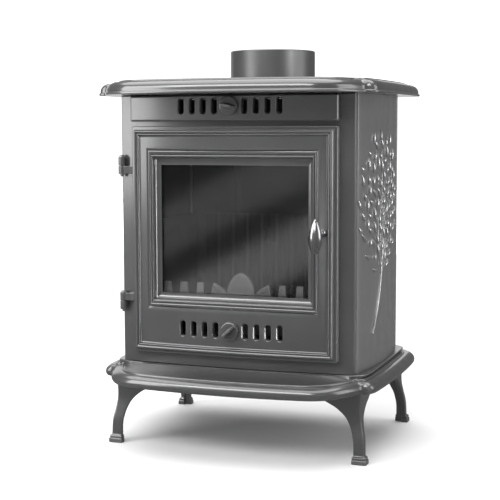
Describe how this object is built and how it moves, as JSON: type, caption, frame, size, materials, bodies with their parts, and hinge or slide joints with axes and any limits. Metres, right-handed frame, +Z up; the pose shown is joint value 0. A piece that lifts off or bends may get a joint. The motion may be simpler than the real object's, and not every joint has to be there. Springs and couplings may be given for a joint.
{
  "type": "wood burning stove",
  "caption": "Cast iron wood burning stove with a hinged glass door, air slots worked by turning knobs, scalloped top and base plates, curved legs and a round flue collar.",
  "frame": {"origin": "on the floor, under the middle of the top and base plates", "axes": "+Z up, -Y the front with the door, +X to the right as seen from the front"},
  "size_m": [0.5114, 0.4338, 0.685],
  "materials": {
    "grey_enamel": "satin grey vitreous enamel over cast iron",
    "bare_iron": "bare cast iron, matt and sooty",
    "steel": "zinc-grey steel",
    "polished_handle": "polished dark steel",
    "glass": "clear fire-resistant glass that reads dark against the firebox",
    "rope": "woven heat-resistant rope",
    "sheet_steel": "dull sheet steel"
  },
  "bodies": {
    "stove_body": {"base_plate": "grey_enamel", "top_plate": "grey_enamel", "flue_collar": "grey_enamel", "front_frame": "grey_enamel", "side_panel_left": "grey_enamel", "side_panel_right": "grey_enamel", "back_panel": "grey_enamel", "leg_front_left": "grey_enamel", "leg_front_right": "grey_enamel", "leg_rear_left": "grey_enamel", "leg_rear_right": "grey_enamel", "hinge_bracket_upper": "grey_enamel", "hinge_bracket_lower": "grey_enamel", "log_guard": "grey_enamel", "grate_support": "bare_iron", "side_liner_left": "bare_iron", "side_liner_right": "bare_iron", "back_liner": "bare_iron", "grate": "bare_iron", "baffle_plate": "bare_iron", "baffle_rest_left": "bare_iron", "baffle_rest_right": "bare_iron", "leg_bolt_front_left": "steel", "leg_bolt_front_right": "steel", "leg_bolt_rear_left": "steel", "leg_bolt_rear_right": "steel", "collar_bolt_1": "steel", "collar_bolt_2": "steel", "collar_bolt_3": "steel", "tie_rod_1": "steel", "tie_rod_2": "steel", "tie_rod_3": "steel", "tie_rod_4": "steel", "latch_keep": "steel", "hinge_pin_upper": "steel", "hinge_pin_lower": "steel", "ash_pan": "sheet_steel", "upper_air_retainer": "sheet_steel"},
    "door": {"door_frame": "grey_enamel", "door_glass": "glass", "glass_gasket": "rope", "door_rope_seal": "rope", "glass_clip_upper_left": "steel", "glass_clip_upper_right": "steel", "glass_clip_lower_left": "steel", "glass_clip_lower_right": "steel", "hinge_lug_upper": "grey_enamel", "hinge_lug_lower": "grey_enamel", "lower_air_retainer": "sheet_steel"},
    "handle": {"handle_grip": "polished_handle", "handle_spindle": "polished_handle", "latch_tongue": "steel"},
    "upper_knob": {"upper_air_knob": "grey_enamel", "upper_air_crank": "steel"},
    "upper_slider": {"upper_air_slider": "sheet_steel"},
    "lower_knob": {"lower_air_knob": "grey_enamel", "lower_air_crank": "steel"},
    "lower_slider": {"lower_air_slider": "sheet_steel"}
  },
  "joints": [
    {"name": "door_hinge", "type": "hinge", "parent": "stove_body", "child": "door", "pos_m": [-0.2035, -0.1165, 0.35875], "axis": [0, 0, -1], "range_deg": [0, 110]},
    {"name": "handle_turn", "type": "hinge", "parent": "door", "child": "handle", "pos_m": [0.158, -0.1215, 0.379], "axis": [0, 1, 0], "range_deg": [-20, 70]},
    {"name": "upper_knob_turn", "type": "hinge", "parent": "stove_body", "child": "upper_knob", "pos_m": [0, -0.1345, 0.585], "axis": [0, 1, 0], "range_deg": [0, 60]},
    {"name": "upper_vent_slide", "type": "slide", "parent": "stove_body", "child": "upper_slider", "axis": [1, 0, 0], "range_m": [0, 0.01]},
    {"name": "lower_knob_turn", "type": "hinge", "parent": "door", "child": "lower_knob", "pos_m": [0, -0.1335, 0.211], "axis": [0, 1, 0], "range_deg": [0, 60]},
    {"name": "lower_vent_slide", "type": "slide", "parent": "door", "child": "lower_slider", "axis": [1, 0, 0], "range_m": [0, 0.01]}
  ],
  "couplings": [
    {"joint": "upper_knob_turn", "follows": "upper_vent_slide", "rad_per_m": 104.7},
    {"joint": "lower_knob_turn", "follows": "lower_vent_slide", "rad_per_m": 104.7}
  ]
}
